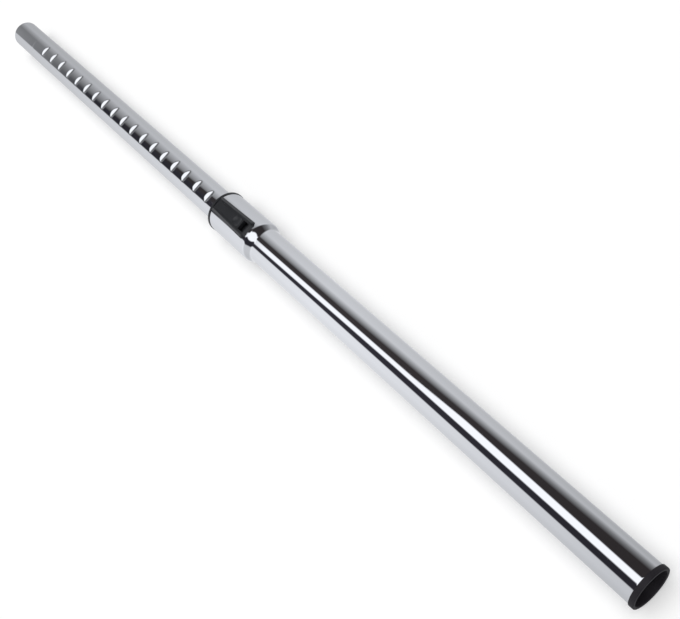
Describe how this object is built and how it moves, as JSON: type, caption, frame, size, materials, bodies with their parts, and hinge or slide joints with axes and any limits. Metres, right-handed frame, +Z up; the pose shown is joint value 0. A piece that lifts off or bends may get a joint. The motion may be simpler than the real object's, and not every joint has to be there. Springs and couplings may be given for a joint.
{
  "type": "telescopic vacuum wand",
  "caption": "Chromed telescopic wand tube with a bell, slide-button lock, grooved inner tube and black hose socket, for a floor vacuum cleaner.",
  "frame": {"origin": "centre of the hose socket's mouth, on the wand's axis", "axes": "+X along the wand towards the floor-tool end, +Z up through the slide button"},
  "size_m": [1.0065, 0.0432, 0.0462],
  "materials": {
    "chrome": "bright chrome plate",
    "black_plastic": "moulded satin black",
    "steel": "bright ground",
    "seal_rubber": "matt"
  },
  "bodies": {
    "outer": {"outer_tube": "chrome", "end_collar": "black_plastic", "guide_sleeve": "black_plastic", "front_seal": "seal_rubber", "button_frame": "black_plastic", "left_spring": "steel", "right_spring": "steel"},
    "inner": {"inner_tube": "chrome", "rear_bush": "black_plastic", "rear_seal": "seal_rubber"},
    "button": {"slide_button": "black_plastic"},
    "roller": {"lock_roller": "steel"}
  },
  "joints": [
    {"name": "tube_slide", "type": "slide", "parent": "outer", "child": "inner", "axis": [1, 0, 0], "range_m": [-0.396, 0]},
    {"name": "button_slide", "type": "slide", "parent": "outer", "child": "button", "axis": [1, 0, 0], "range_m": [-0.006, 0], "deforming": ["left_spring", "right_spring"]},
    {"name": "roller_lift", "type": "slide", "parent": "outer", "child": "roller", "axis": [0, 0, 1], "range_m": [-0.00165, 0]}
  ],
  "couplings": [
    {"joint": "roller_lift", "follows": "button_slide", "ratio": 0.275}
  ]
}
